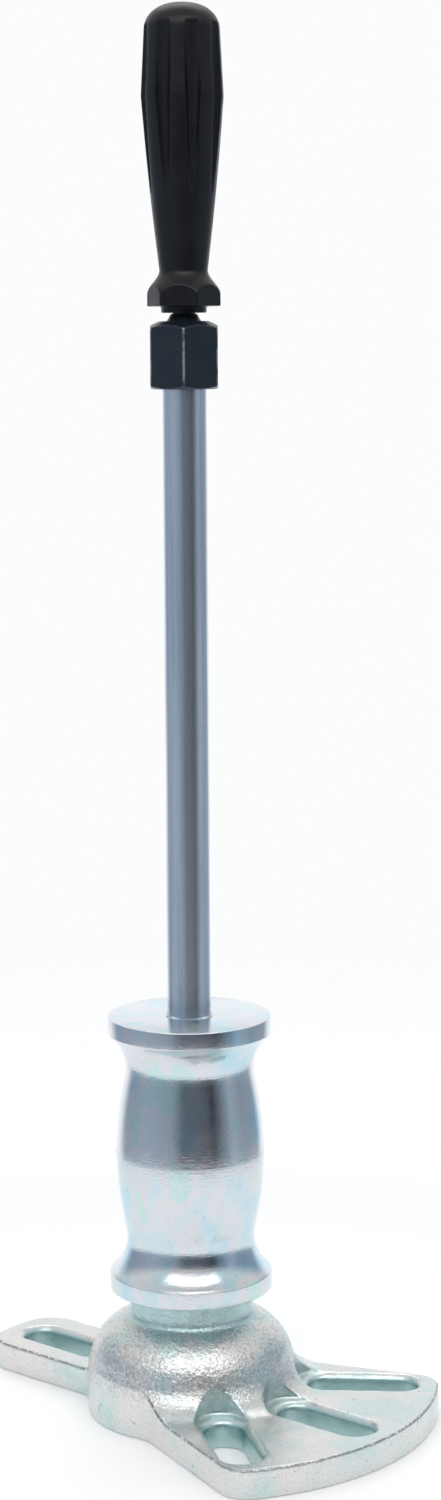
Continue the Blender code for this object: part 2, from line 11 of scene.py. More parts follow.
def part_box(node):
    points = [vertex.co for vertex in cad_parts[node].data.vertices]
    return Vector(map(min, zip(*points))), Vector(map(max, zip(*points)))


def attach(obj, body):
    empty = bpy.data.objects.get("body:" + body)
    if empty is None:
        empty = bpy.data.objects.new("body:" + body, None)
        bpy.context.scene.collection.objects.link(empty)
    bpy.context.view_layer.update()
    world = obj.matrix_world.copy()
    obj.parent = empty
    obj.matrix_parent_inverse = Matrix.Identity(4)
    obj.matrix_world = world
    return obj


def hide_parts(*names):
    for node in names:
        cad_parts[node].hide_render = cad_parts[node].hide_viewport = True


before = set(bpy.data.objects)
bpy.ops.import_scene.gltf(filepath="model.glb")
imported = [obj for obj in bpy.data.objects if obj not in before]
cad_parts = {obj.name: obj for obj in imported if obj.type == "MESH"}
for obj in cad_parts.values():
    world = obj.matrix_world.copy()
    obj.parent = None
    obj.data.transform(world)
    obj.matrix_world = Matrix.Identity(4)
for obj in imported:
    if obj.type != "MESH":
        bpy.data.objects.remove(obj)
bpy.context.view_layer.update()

# ---------------------------------------------------------------- sizes read from the frame
FLANGE_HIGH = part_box("puller_flange")[1]
ROD_LOW, ROD_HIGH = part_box("slide_rod")
HAMMER_LOW, HAMMER_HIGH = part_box("slide_hammer")
NUT_LOW, NUT_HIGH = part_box("stop_nut")
GRIP_LOW, GRIP_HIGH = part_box("handle_grip")
WASHER_LOW, WASHER_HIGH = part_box("base_washer")
LOCK_NUT_LOW, LOCK_NUT_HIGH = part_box("base_lock_nut")
STUD_LOW, STUD_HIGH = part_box("handle_stud")

GAP = 0.0003  # clearance between fitted pieces, and between faces that must not meet
CUT_OVER = 0.002  # cutters reach this far past what they cut
WELD = 0.00001  # points closer than this become one

# ---------------------------------------------------------------- flange
PLATE_RADIUS = FLANGE_HIGH.x
PLATE_THICK = 0.0108
FAN_EDGE_ANGLE = math.radians(21.0)
FAN_EDGE_DISTANCE = 0.031
FAN_CORNER_ROUND = 0.011
ARM_HALF_WIDTH = 0.0184
ARM_CORNER_ROUND = 0.0125
HUB_OUTLINE_RADIUS = 0.0387
HUB_TO_FAN_FILLET = 0.016
HUB_TO_ARM_FILLET = 0.010

SLOT_ANGLES = [math.radians(a) for a in (180.0, 0.0, 36.0, -36.0)]
SLOT_INNER = 0.0437
SLOT_OUTER = 0.0842
SLOT_HALF_WIDTH = 0.0073
SLOT_RIM = 0.0019
SCALLOP_RADIUS = 0.0098
SCALLOP_CENTRE = 0.0478
SCALLOP_SINK = 0.0004

DOME_RADIUS = 0.0382
DOME_ROUND = 0.0202
DOME_ROUND_HEIGHT = 0.0170
SKIRT_RADIUS = 0.0140  # hollow sweep from the dome down to the fan
ARM_FOOT_RADIUS = 0.0045  # smaller sweep from the hub's wall down to the arm
BOSS_RADIUS = 0.0225
BOSS_TOP = FLANGE_HIGH.z
BOSS_FILLET = 0.0030
HOLLOW_MOUTH_RADIUS = 0.0308
HOLLOW_WALL_RADIUS = 0.0296
HOLLOW_ROUND = 0.0130
HOLLOW_TOP = WASHER_HIGH.z + GAP
COUNTERBORE_FLOOR = 0.0440

FORGING_VOXEL = 0.00062
FORGING_SMOOTHING = 7
FORGING_WAVE = 0.00010  # unevenness of the forged skin
FORGING_WAVE_SIZE = 0.0075
MACHINED_BAND = 0.0006  # near the underside and the boss's top the skin stays flat
RECESS_START = 0.0003  # the painted shade and teal tint of the recesses fade out from here to RECESS_BLEND outside their walls
RECESS_BLEND = 0.0012
# how much of the painted recess shade the scallops take
SCALLOP_SHADE = 0.55
EDGE_SPACING = 0.0004
EDGE_START = 0.0015  # the line starts this far outside the hub's round wall
EDGE_LINE = 0.0008  # reach of the painted dark line and glints along the plate's top edge

# ---------------------------------------------------------------- rod and fasteners
ROD_RADIUS = ROD_HIGH.x
ROD_END_RADIUS = ROD_RADIUS - 0.001
ROD_CHAMFER = 0.0010
ROD_SOCKET_DEPTH = 0.0168
STUD_RADIUS = 0.0040
STUD_CONE_STEP = 0.0006  # the cone's narrow end stands out this far from the stud
STUD_CONE_EDGE = 0.0002
TURNED_EDGE = 0.0003  # small chamfer on the washer's and the stud's ends
THREAD_PITCH = 0.0020
THREAD_DEPTH = 0.0009
THREAD_FLAT = THREAD_PITCH / 16  # half the width of a crest and of a root

STOP_NUT_FLATS = 0.0240
STOP_NUT_SPHERE = 0.0240
STOP_NUT_FACE_RADIUS = 0.0089
STOP_NUT_BASE_RADIUS = 0.0114
STOP_NUT_BASE_CHAMFER = 0.0014
STOP_NUT_TURN = math.radians(10.5)
LOCK_NUT_FLATS = 0.0220
LOCK_NUT_CHAMFER = 0.0010
NUT_VOXEL = 0.00026
NUT_SMOOTHING = 4
NUT_CORNER_REACH = 0.0006  # the high nut turns lighter grey this near to its corners

# ---------------------------------------------------------------- hammer
HAMMER_HALF_LENGTH = (HAMMER_HIGH.z - HAMMER_LOW.z) / 2
HAMMER_RIM_RADIUS = HAMMER_HIGH.x
HAMMER_RIM_HEIGHT = 0.0060
HAMMER_RIM_EDGE = 0.0004
HAMMER_RIM_LIP_ANGLE = -60.0  # degrees; the rim's inner edge rounds this far into the lip's groove
HAMMER_NECK_RADIUS = 0.0236
HAMMER_NECK_HEIGHT = 0.0196
HAMMER_NECK_ARC = 0.0168
HAMMER_BELLY_RADIUS = 0.0273
HAMMER_SEAM_SLOPE = math.radians(1.0)  # each half narrows a little already at the seam
HAMMER_SEAM_PROUD = 0.00022
HAMMER_SEAM_HALF = 0.0004
HAMMER_LIP_GROOVE = 0.0005
BORE_CHAMFER = 0.0010

# ---------------------------------------------------------------- grip
GRIP_RING_RADIUS = 0.0081
GRIP_GUARD_BOTTOM = GRIP_LOW.z + 0.0023
GRIP_GUARD_TOP = GRIP_LOW.z + 0.0063
GRIP_GUARD_RADIUS = 0.0132
GRIP_GUARD_FLATS = 0.0232
GRIP_GUARD_TURN = math.radians(32.5)
GRIP_NECK_HEIGHT = GRIP_LOW.z + 0.0150
GRIP_NECK_RADIUS = 0.0086
GRIP_BELLY_HEIGHT = GRIP_LOW.z + 0.0753
GRIP_BELLY_RADIUS = GRIP_HIGH.x
GRIP_SHOULDER_HEIGHT = GRIP_LOW.z + 0.0981
GRIP_SHOULDER_RADIUS = 0.0134
GRIP_CROWN_POWER = 0.85
GRIP_TAPER_SWELL = 0.0004
FLUTE_COUNT = 8
FLUTE_TURN = math.radians(12.0)
FLUTE_TOP = 0.5050
FLUTE_BOTTOM = 0.4460
FLUTE_TOP_DEPTH = 0.0012
FLUTE_TOP_RADIUS = 0.0042
FLUTE_BOTTOM_RADIUS = 0.0010
FLUTE_BOTTOM_INSET = 0.0022
INSERT_RADIUS = 0.0063
INSERT_TOP = 0.4380
GRIP_VOXEL = 0.00032
GRIP_SMOOTHING = 3

# ---------------------------------------------------------------- mesh density
ROUND_STEPS = 192
CUTTER_STEPS = 96
ARC_STEPS = 20
RIM_EDGE_STEPS = 4
SHARP_ANGLE = math.radians(30.0)
HAMMER_SHARP_ANGLE = math.radians(24.0)
FULL_TURN = 2 * math.pi


# ---------------------------------------------------------------- mesh helpers


def link(obj):
    bpy.context.scene.collection.objects.link(obj)
    return obj


def bake(obj):
    """Makes the object's modifiers and its place part of its mesh."""
    bpy.context.view_layer.update()
    graph = bpy.context.evaluated_depsgraph_get()
    mesh = bpy.data.meshes.new_from_object(obj.evaluated_get(graph))
    obj.modifiers.clear()
    obj.data = mesh
    obj.data.transform(obj.matrix_world)
    obj.matrix_world = Matrix.Identity(4)
    return obj


def arc(centre, radius, start_deg, end_deg, steps=ARC_STEPS):
    """Points along an arc, both ends included."""
    points = []
    for i in range(steps + 1):
        angle = math.radians(start_deg + (end_deg - start_deg) * i / steps)
        points.append((centre[0] + radius * math.cos(angle), centre[1] + radius * math.sin(angle)))
    return points


def turned(name, profile, steps=ROUND_STEPS, closed=False):
    """Spins a profile of (radius, height) points about Z. The outer side runs from top to bottom."""
    mesh = bpy.data.meshes.new(name)
    edges = [(i, i + 1) for i in range(len(profile) - 1)]
    if closed:
        edges.append((len(profile) - 1, 0))
    mesh.from_pydata([(radius, 0.0, height) for radius, height in profile], edges, [])
    obj = link(bpy.data.objects.new(name, mesh))
    screw = obj.modifiers.new("turn", "SCREW")
    screw.steps = steps
    screw.render_steps = steps
    screw.use_merge_vertices = True
    screw.merge_threshold = WELD
    return bake(obj)


def cone(name, radius_low, radius_high, bottom, top, steps=CUTTER_STEPS):
    mesh = bpy.data.meshes.new(name)
    shape = bmesh.new()
    bmesh.ops.create_cone(
        shape, cap_ends=True, segments=steps, radius1=radius_low, radius2=radius_high, depth=top - bottom
    )
    shape.to_mesh(mesh)
    shape.free()
    obj = link(bpy.data.objects.new(name, mesh))
    obj.location.z = (bottom + top) / 2
    return obj


def cylinder(name, radius, bottom, top, steps=CUTTER_STEPS):
    return cone(name, radius, radius, bottom, top, steps)


def hex_prism(name, flats, bottom, top, turn=0.0):
    """A hexagonal bar with a corner at the angle turn."""
    obj = cylinder(name, flats / math.sqrt(3.0), bottom, top, steps=6)
    obj.rotation_euler.z = turn - math.pi / 2
    return obj


def prism(name, outline, bottom, top, rim=0.0):
    """A mesh with this outline and upright walls. A rim widens its middle by that much, with chamfers."""
    curve = bpy.data.curves.new(name, "CURVE")
    curve.dimensions = "2D"
    curve.fill_mode = "BOTH"
    curve.extrude = (top - bottom) / 2 - rim
    curve.bevel_depth = rim
    curve.bevel_resolution = 0
    spline = curve.splines.new("POLY")
    spline.points.add(len(outline) - 1)
    for point, (x, y) in zip(spline.points, outline):
        point.co = (x, y, 0.0, 1.0)
    spline.use_cyclic_u = True
    drawn = link(bpy.data.objects.new(name + "_outline", curve))
    drawn.location.z = (bottom + top) / 2
    bpy.context.view_layer.update()
    mesh = bpy.data.meshes.new_from_object(drawn.evaluated_get(bpy.context.evaluated_depsgraph_get()))
    shape = bmesh.new()
    shape.from_mesh(mesh)
    bmesh.ops.remove_doubles(shape, verts=shape.verts, dist=WELD)
    shape.to_mesh(mesh)
    shape.free()
    obj = link(bpy.data.objects.new(name, mesh))
    obj.matrix_world = drawn.matrix_world.copy()
    bpy.data.objects.remove(drawn, do_unlink=True)
    return obj


def combine(obj, others, operation):
    """One exact Boolean of obj with all the others, which are then removed."""
    group = bpy.data.collections.new("operands")
    bpy.context.scene.collection.children.link(group)
    for other in others:
        group.objects.link(other)
    modifier = obj.modifiers.new("combine", "BOOLEAN")
    modifier.operation = operation
    modifier.solver = "EXACT"
    if len(others) == 1:
        modifier.object = others[0]
    else:
        modifier.operand_type = "COLLECTION"
        modifier.collection = group
    bake(obj)
    for other in others:
        bpy.data.objects.remove(other, do_unlink=True)
    bpy.data.collections.remove(group)
    return obj


def soften(obj, voxel, smoothing):
    """Rebuilds the mesh on a fine even grid and smooths it, so every edge becomes slightly round."""
    remesh = obj.modifiers.new("even_grid", "REMESH")
    remesh.mode = "VOXEL"
    remesh.voxel_size = voxel
    smooth = obj.modifiers.new("round_edges", "SMOOTH")
    smooth.factor = 0.5
    smooth.iterations = smoothing
    bake(obj)
    obj.data.shade_smooth()
    return obj


def crisp(obj, angle):
    """Shades the mesh smooth, but for the edges that turn by more than this angle."""
    obj.data.shade_smooth()
    obj.data.set_sharp_from_angle(angle=angle)


def paint(obj, name, values):
    """Stores one number per point on the mesh, for the material to read."""
    obj.data.attributes.new(name, "FLOAT", "POINT").data.foreach_set("value", values)


def step_between(value, low, high):
    """0 below low and 1 above high, with a smooth rise between them."""
    part = min(max((value - low) / (high - low), 0.0), 1.0)
    return part * part * (3.0 - 2.0 * part)


def dress(obj, material, body, node):
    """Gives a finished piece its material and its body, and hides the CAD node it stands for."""
    obj.data.materials.clear()
    obj.data.materials.append(material)
    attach(obj, body)
    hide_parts(node)
    return obj


# ---------------------------------------------------------------- flange


def corner_centre(normal, along, line_distance, circle_radius, round_radius):
    """Centre of the arc that rounds the outside corner between a line and the circle about the origin."""
    off = line_distance - round_radius
    reach = math.sqrt((circle_radius - round_radius) ** 2 - off**2)
    return normal * off + along * reach


def fillet_centre(normal, along, line_distance, circle_radius, fillet_radius):
    """Centre of the arc that fills the inside corner between a line and the circle about the origin."""
    off = line_distance + fillet_radius
    reach = math.sqrt((circle_radius + fillet_radius) ** 2 - off**2)
    return normal * off + along * reach


def arc_between(centre, radius, start, end, steps=ARC_STEPS):
    """Arc about centre from the direction of one point to that of the other, the short way round."""
    first = math.degrees(math.atan2(start.y - centre.y, start.x - centre.x))
    last = math.degrees(math.atan2(end.y - centre.y, end.x - centre.x))
    sweep = (last - first + 180.0) % 360.0 - 180.0
    return arc(centre, radius, first, first + sweep, steps)


def flange_outline(with_arm=True):
    """The plate seen from above: a fan, a round hub and one arm. The half at +Y is drawn, then mirrored."""
    fan_normal = Vector((-math.sin(FAN_EDGE_ANGLE), math.cos(FAN_EDGE_ANGLE)))
    fan_along = Vector((math.cos(FAN_EDGE_ANGLE), math.sin(FAN_EDGE_ANGLE)))
    arm_normal = Vector((0.0, 1.0))
    arm_along = Vector((-1.0, 0.0))
    origin = Vector((0.0, 0.0))

    corner = corner_centre(fan_normal, fan_along, FAN_EDGE_DISTANCE, PLATE_RADIUS, FAN_CORNER_ROUND)
    rim_end = corner.normalized() * PLATE_RADIUS
    half = arc_between(origin, PLATE_RADIUS, Vector((PLATE_RADIUS, 0.0)), rim_end, 3 * ARC_STEPS)
    half += arc_between(corner, FAN_CORNER_ROUND, rim_end, corner + fan_normal)[1:]

    fillet = fillet_centre(fan_normal, fan_along, FAN_EDGE_DISTANCE, HUB_OUTLINE_RADIUS, HUB_TO_FAN_FILLET)
    fan_hub = fillet.normalized() * HUB_OUTLINE_RADIUS
    half += arc_between(fillet, HUB_TO_FAN_FILLET, fillet - fan_normal, fan_hub)

    fillet = fillet_centre(arm_normal, arm_along, ARM_HALF_WIDTH, HUB_OUTLINE_RADIUS, HUB_TO_ARM_FILLET)
    arm_hub = fillet.normalized() * HUB_OUTLINE_RADIUS
    half += arc_between(origin, HUB_OUTLINE_RADIUS, fan_hub, arm_hub, 3 * ARC_STEPS)[1:]
    if with_arm:
        half += arc_between(fillet, HUB_TO_ARM_FILLET, arm_hub, fillet - arm_normal)[1:]
        corner = corner_centre(arm_normal, arm_along, ARM_HALF_WIDTH, PLATE_RADIUS, ARM_CORNER_ROUND)
        tip_start = corner.normalized() * PLATE_RADIUS
        half += arc_between(corner, ARM_CORNER_ROUND, corner + arm_normal, tip_start)
        half += arc_between(origin, PLATE_RADIUS, tip_start, Vector((-PLATE_RADIUS, 0.0)))[1:]
    else:
        hub_back = Vector((-HUB_OUTLINE_RADIUS, 0.0))
        half += arc_between(origin, HUB_OUTLINE_RADIUS, arm_hub, hub_back)[1:]
    return half + [(x, -y) for x, y in reversed(half[1:-1])]


def slot_outline(angle, half_width=SLOT_HALF_WIDTH):
    """A stadium along the ray at this angle, from SLOT_INNER to SLOT_OUTER."""
    inner = SLOT_INNER + SLOT_HALF_WIDTH
    outer = SLOT_OUTER - SLOT_HALF_WIDTH
    local = arc((outer, 0.0), half_width, -90.0, 90.0) + arc((inner, 0.0), half_width, 90.0, 270.0)
    turn = (math.cos(angle), math.sin(angle))
    return [(x * turn[0] - y * turn[1], x * turn[1] + y * turn[0]) for x, y in local]


def skirt_centre():
    """Where the skirt's arc is centred, so that it touches the dome's shoulder and the plate's top."""
    height = PLATE_THICK + SKIRT_RADIUS
    reach = math.sqrt((DOME_ROUND + SKIRT_RADIUS) ** 2 - (height - DOME_ROUND_HEIGHT) ** 2)
    return DOME_RADIUS - DOME_ROUND + reach, height


def dome_profile():
    """Boss, shoulder and hollow skirt of the dome, from the top of the axis down into the plate."""
    shoulder = (DOME_RADIUS - DOME_ROUND, DOME_ROUND_HEIGHT)
    fillet_x = BOSS_RADIUS + BOSS_FILLET
    reach = DOME_ROUND + BOSS_FILLET
    fillet_z = shoulder[1] + math.sqrt(reach**2 - (fillet_x - shoulder[0]) ** 2)
    meet = math.degrees(math.atan2(fillet_z - shoulder[1], fillet_x - shoulder[0]))
    profile = [(0.0, BOSS_TOP), (BOSS_RADIUS, BOSS_TOP)]
    profile += arc((fillet_x, fillet_z), BOSS_FILLET, 180.0, 180.0 + meet)

    skirt = skirt_centre()
    turn = math.degrees(math.atan2(skirt[1] - shoulder[1], skirt[0] - shoulder[0]))
    profile += arc(shoulder, DOME_ROUND, meet, turn)[1:]
    profile += arc(skirt, SKIRT_RADIUS, 180.0 + turn, 270.0)[1:]
    return profile + [(skirt[0], PLATE_THICK / 2), (0.0, PLATE_THICK / 2)]


def arm_foot_profile():
    """The hub's wall and the small sweep from it down to the arm."""
    centre = (HUB_OUTLINE_RADIUS + ARM_FOOT_RADIUS, PLATE_THICK + ARM_FOOT_RADIUS)
    profile = [(0.0, centre[1])] + arc(centre, ARM_FOOT_RADIUS, 180.0, 270.0)
    return profile + [(centre[0], PLATE_THICK / 2), (0.0, PLATE_THICK / 2)]


def hollow_profile():
    """The space under the dome, from its flat ceiling to below the underside."""
    centre = (HOLLOW_WALL_RADIUS - HOLLOW_ROUND, HOLLOW_TOP - HOLLOW_ROUND)
    profile = [(0.0, HOLLOW_TOP)] + arc(centre, HOLLOW_ROUND, 90.0, 0.0)
    return profile + [(HOLLOW_MOUTH_RADIUS, 0.0), (HOLLOW_MOUTH_RADIUS, -CUT_OVER), (0.0, -CUT_OVER)]


def flange_cutters():
    cutters = [
        turned("hollow_cut", hollow_profile()),
        cylinder("rod_hole_cut", ROD_END_RADIUS + GAP, HOLLOW_TOP - CUT_OVER, BOSS_TOP),
        cylinder("counterbore_cut", ROD_RADIUS + GAP, COUNTERBORE_FLOOR, BOSS_TOP + CUT_OVER),
    ]
    for angle in SLOT_ANGLES:
        floor = PLATE_THICK - SCALLOP_SINK
        scallop = cylinder("scallop_cut", SCALLOP_RADIUS, floor, BOSS_TOP - GAP)
        scallop.location.x = SCALLOP_CENTRE * math.cos(angle)
        scallop.location.y = SCALLOP_CENTRE * math.sin(angle)
        cutters.append(scallop)
        outline = slot_outline(angle)
        cutters.append(prism("slot_cut", outline, -CUT_OVER, PLATE_THICK + CUT_OVER))
        rim = SLOT_RIM + GAP
        inside = slot_outline(angle, SLOT_HALF_WIDTH - GAP)
        cutters.append(prism("slot_rim_cut", inside, PLATE_THICK - rim, PLATE_THICK + 2 * rim, rim))
    return cutters


def uneven_skin(obj):
    """Moves the forged skin in and out a little, as a die leaves it. Machined faces stay flat."""
    mesh = obj.data
    for vertex, normal in zip(mesh.vertices, [n.vector.copy() for n in mesh.vertex_normals]):
        height = vertex.co.z
        if height < MACHINED_BAND or height > BOSS_TOP - MACHINED_BAND:
            continue
        broad = noise.noise(vertex.co / FORGING_WAVE_SIZE)
        narrow = noise.noise(vertex.co / (FORGING_WAVE_SIZE / 3))
        vertex.co += normal * (FORGING_WAVE * (broad + 0.5 * narrow))
    mesh.update()


def top_edge_points():
    """Closely spaced points along the upper edge of the flange's outline, which climbs with the skirt."""
    outline = [Vector(point) for point in flange_outline()]
    skirt_x, skirt_z = skirt_centre()
    points = []
    for start, end in zip(outline, outline[1:] + outline[:1]):
        count = max(1, round((end - start).length / EDGE_SPACING))
        for i in range(count):
            point = start.lerp(end, i / count)
            if point.length < HUB_OUTLINE_RADIUS + EDGE_START:
                continue
            inward = max(skirt_x - point.length, 0.0)
            drop = math.sqrt(SKIRT_RADIUS**2 - inward**2)
            points.append((point.x, point.y, skirt_z - drop if point.x > 0.0 else PLATE_THICK))
    return points


def recess_at(point):
    """1 inside a slot, in a scallop or on the boss's neck, and 0 on open faces. It marks where shade and
    bounced-light tint are painted.
    """
    radius = math.hypot(point.x, point.y)
    inner_side = step_between(radius, BOSS_RADIUS - 2 * RECESS_START, BOSS_RADIUS - RECESS_START / 2)
    outer_side = 1.0 - step_between(radius, BOSS_RADIUS + RECESS_START, BOSS_RADIUS + BOSS_FILLET)
    deepest = inner_side * outer_side * step_between(point.z, HOLLOW_TOP, HOLLOW_TOP + BOSS_FILLET)
    for angle in SLOT_ANGLES:
        along = point.x * math.cos(angle) + point.y * math.sin(angle)
        across = point.y * math.cos(angle) - point.x * math.sin(angle)
        ends = (SLOT_INNER + SLOT_HALF_WIDTH, SLOT_OUTER - SLOT_HALF_WIDTH)
        beyond = max(ends[0] - along, along - ends[1], 0.0)
        off_slot = math.hypot(beyond, across) - SLOT_HALF_WIDTH
        wall = 1.0 - step_between(off_slot, RECESS_START, RECESS_BLEND)
        below = 1.0 - step_between(point.z, PLATE_THICK - RECESS_BLEND, PLATE_THICK)
        off_scallop = math.hypot(along - SCALLOP_CENTRE, across) - SCALLOP_RADIUS
        scallop = 1.0 - step_between(off_scallop, -RECESS_START, RECESS_BLEND)
        inner_half = 1.0 - step_between(along - SCALLOP_CENTRE, -RECESS_BLEND, RECESS_BLEND)
        deepest = max(deepest, wall * below, SCALLOP_SHADE * scallop * inner_half)
    return deepest


def paint_flange(flange):
    """Stores where the flange is recessed and gets painted shade, where its top edge runs and gets a
    painted dark line with painted glints, and where its skin is coarse.
    """
    edge = top_edge_points()
    tree = KDTree(len(edge))
    for index, point in enumerate(edge):
        tree.insert(point, index)
    tree.balance()
    painted = {"recess_shade": [], "edge": [], "coarse": []}
    for vertex in flange.data.vertices:
        painted["recess_shade"].append(recess_at(vertex.co))
        painted["edge"].append(1.0 - step_between(tree.find(vertex.co)[2], EDGE_LINE / 2, EDGE_LINE))
        raised = step_between(vertex.co.z, PLATE_THICK, PLATE_THICK + SKIRT_RADIUS / 2)
        machined = step_between(vertex.co.z, BOSS_TOP - 2 * MACHINED_BAND, BOSS_TOP - MACHINED_BAND)
        painted["coarse"].append(raised - machined)
    for name, values in painted.items():
        paint(flange, name, values)


def make_flange():
    flange = bake(prism("flange_body", flange_outline(), 0.0, PLATE_THICK))
    for profile, outline in (
        (dome_profile(), flange_outline(with_arm=False)),
        (arm_foot_profile(), flange_outline()),
    ):
        raised = turned("raised_solid", profile)
        trim = prism("raised_trim", outline, -CUT_OVER, BOSS_TOP + CUT_OVER)
        combine(raised, [trim], "INTERSECT")
        combine(flange, [raised], "UNION")
    combine(flange, flange_cutters(), "DIFFERENCE")
    soften(flange, FORGING_VOXEL, FORGING_SMOOTHING)
    paint_flange(flange)
    uneven_skin(flange)
    dress(flange, forged_zinc(), "puller_body", "puller_flange")


# ---------------------------------------------------------------- rod, washer, nuts and stud


def thread(radius, top, bottom):
    """Level ridges that stand for a thread's turns, as a profile from top to bottom."""
    count = int((top - bottom) / THREAD_PITCH)
    points = []
    for i in range(count):
        crest = top - (i + 0.25) * THREAD_PITCH
        root = crest - THREAD_PITCH / 2
        points.append((radius, crest + THREAD_FLAT))
        points.append((radius, crest - THREAD_FLAT))
        points.append((radius - THREAD_DEPTH, root + THREAD_FLAT))
        points.append((radius - THREAD_DEPTH, root - THREAD_FLAT))
    return points


def make_rod():
    shoulder = COUNTERBORE_FLOOR + GAP
    profile = [
        (0.0, ROD_HIGH.z),
        (ROD_RADIUS - ROD_CHAMFER, ROD_HIGH.z),
        (ROD_RADIUS, ROD_HIGH.z - ROD_CHAMFER),
        (ROD_RADIUS, shoulder),
        (ROD_END_RADIUS, shoulder),
    ]
    profile += thread(ROD_END_RADIUS, LOCK_NUT_HIGH.z, ROD_LOW.z + ROD_CHAMFER)
    profile += [
        (ROD_END_RADIUS - ROD_CHAMFER, ROD_LOW.z),
        (0.0, ROD_LOW.z),
    ]
    rod = turned("rod", profile)
    socket = cylinder("socket_cut", STUD_RADIUS + GAP, ROD_HIGH.z - ROD_SOCKET_DEPTH, ROD_HIGH.z + CUT_OVER)
    combine(rod, [socket], "DIFFERENCE")
    crisp(rod, SHARP_ANGLE)
    dress(rod, rod_zinc(), "puller_body", "slide_rod")


def make_washer():
    inner = ROD_END_RADIUS + GAP
    outer = WASHER_HIGH.x
    edge = TURNED_EDGE
    profile = [
        (inner, WASHER_HIGH.z),
        (outer - edge, WASHER_HIGH.z),
        (outer, WASHER_HIGH.z - edge),
        (outer, WASHER_LOW.z + edge),
        (outer - edge, WASHER_LOW.z),
        (inner + edge, WASHER_LOW.z),
        (inner, WASHER_LOW.z + edge),
    ]
    washer = turned("washer", profile, closed=True)
    crisp(washer, SHARP_ANGLE)
    dress(washer, turned_zinc("washer_zinc"), "puller_body", "base_washer")


def nut_envelope(name, top_profile, bottom_profile):
    """The turned outer shape that cuts back a hex bar's ends."""
    profile = [(0.0, top_profile[0][1])] + top_profile + bottom_profile + [(0.0, bottom_profile[-1][1])]
    return turned(name, profile, CUTTER_STEPS)


def make_lock_nut():
    top, bottom = LOCK_NUT_HIGH.z, LOCK_NUT_LOW.z
    corner = LOCK_NUT_FLATS / math.sqrt(3.0)
    flat = LOCK_NUT_FLATS / 2
    nut = hex_prism("lock_nut", LOCK_NUT_FLATS, bottom, top)
    low = [(corner, bottom + LOCK_NUT_CHAMFER), (flat, bottom)]
    high = [(flat, top), (corner, top - LOCK_NUT_CHAMFER)]
    combine(nut, [nut_envelope("lock_nut_envelope", high, low)], "INTERSECT")
    bore = cylinder("lock_nut_bore_cut", ROD_END_RADIUS + GAP, bottom - CUT_OVER, top + CUT_OVER)
    combine(nut, [bore], "DIFFERENCE")
    soften(nut, NUT_VOXEL, NUT_SMOOTHING)
    dress(nut, turned_zinc("lock_nut_zinc"), "puller_body", "base_lock_nut")


def paint_corners(nut):
    """Stores how near each point lies to one of the hexagon's six upright corners."""
    radius = STOP_NUT_FLATS / math.sqrt(3.0)
    angles = [STOP_NUT_TURN + FULL_TURN * number / 6 for number in range(6)]
    corners = [Vector((radius * math.cos(angle), radius * math.sin(angle))) for angle in angles]
    near = []
    for vertex in nut.data.vertices:
        distance = min((vertex.co.to_2d() - corner).length for corner in corners)
        near.append(1.0 - step_between(distance, NUT_CORNER_REACH / 2, NUT_CORNER_REACH))
    paint(nut, "corner", near)


def make_stop_nut():
    top, bottom = NUT_HIGH.z, NUT_LOW.z
    corner = STOP_NUT_FLATS / math.sqrt(3.0) + GAP
    nut = hex_prism("high_nut", STOP_NUT_FLATS, bottom, top, STOP_NUT_TURN)
    sphere_z = top - math.sqrt(STOP_NUT_SPHERE**2 - STOP_NUT_FACE_RADIUS**2)
    first = math.degrees(math.acos(STOP_NUT_FACE_RADIUS / STOP_NUT_SPHERE))
    last = math.degrees(math.acos(corner / STOP_NUT_SPHERE))
    high = arc((0.0, sphere_z), STOP_NUT_SPHERE, first, last)
    low = [(corner, bottom + STOP_NUT_BASE_CHAMFER), (STOP_NUT_BASE_RADIUS, bottom)]
    combine(nut, [nut_envelope("high_nut_envelope", high, low)], "INTERSECT")
    bore = cylinder("high_nut_bore_cut", ROD_RADIUS + GAP, bottom - CUT_OVER, top + CUT_OVER)
    combine(nut, [bore], "DIFFERENCE")
    soften(nut, NUT_VOXEL, NUT_SMOOTHING)
    paint_corners(nut)
    dress(nut, black_oxide("nut_black"), "puller_body", "stop_nut")


def make_stud():
    cone_low, cone_high = ROD_HIGH.z + GAP, GRIP_LOW.z - GAP
    profile = [
        (0.0, STUD_HIGH.z),
        (STUD_RADIUS - TURNED_EDGE, STUD_HIGH.z),
        (STUD_RADIUS, STUD_HIGH.z - TURNED_EDGE),
        (STUD_RADIUS, cone_high),
        (STUD_RADIUS + STUD_CONE_STEP, cone_high),
        (STUD_HIGH.x - STUD_CONE_EDGE, cone_low + 2 * STUD_CONE_EDGE),
        (STUD_HIGH.x, cone_low),
        (STUD_RADIUS, cone_low),
        (STUD_RADIUS, STUD_LOW.z + TURNED_EDGE),
        (STUD_RADIUS - TURNED_EDGE, STUD_LOW.z),
        (0.0, STUD_LOW.z),
    ]
    stud = turned("stud", profile)
    crisp(stud, SHARP_ANGLE)
    dress(stud, black_oxide("stud_black"), "puller_body", "handle_stud")


# ---------------------------------------------------------------- hammer


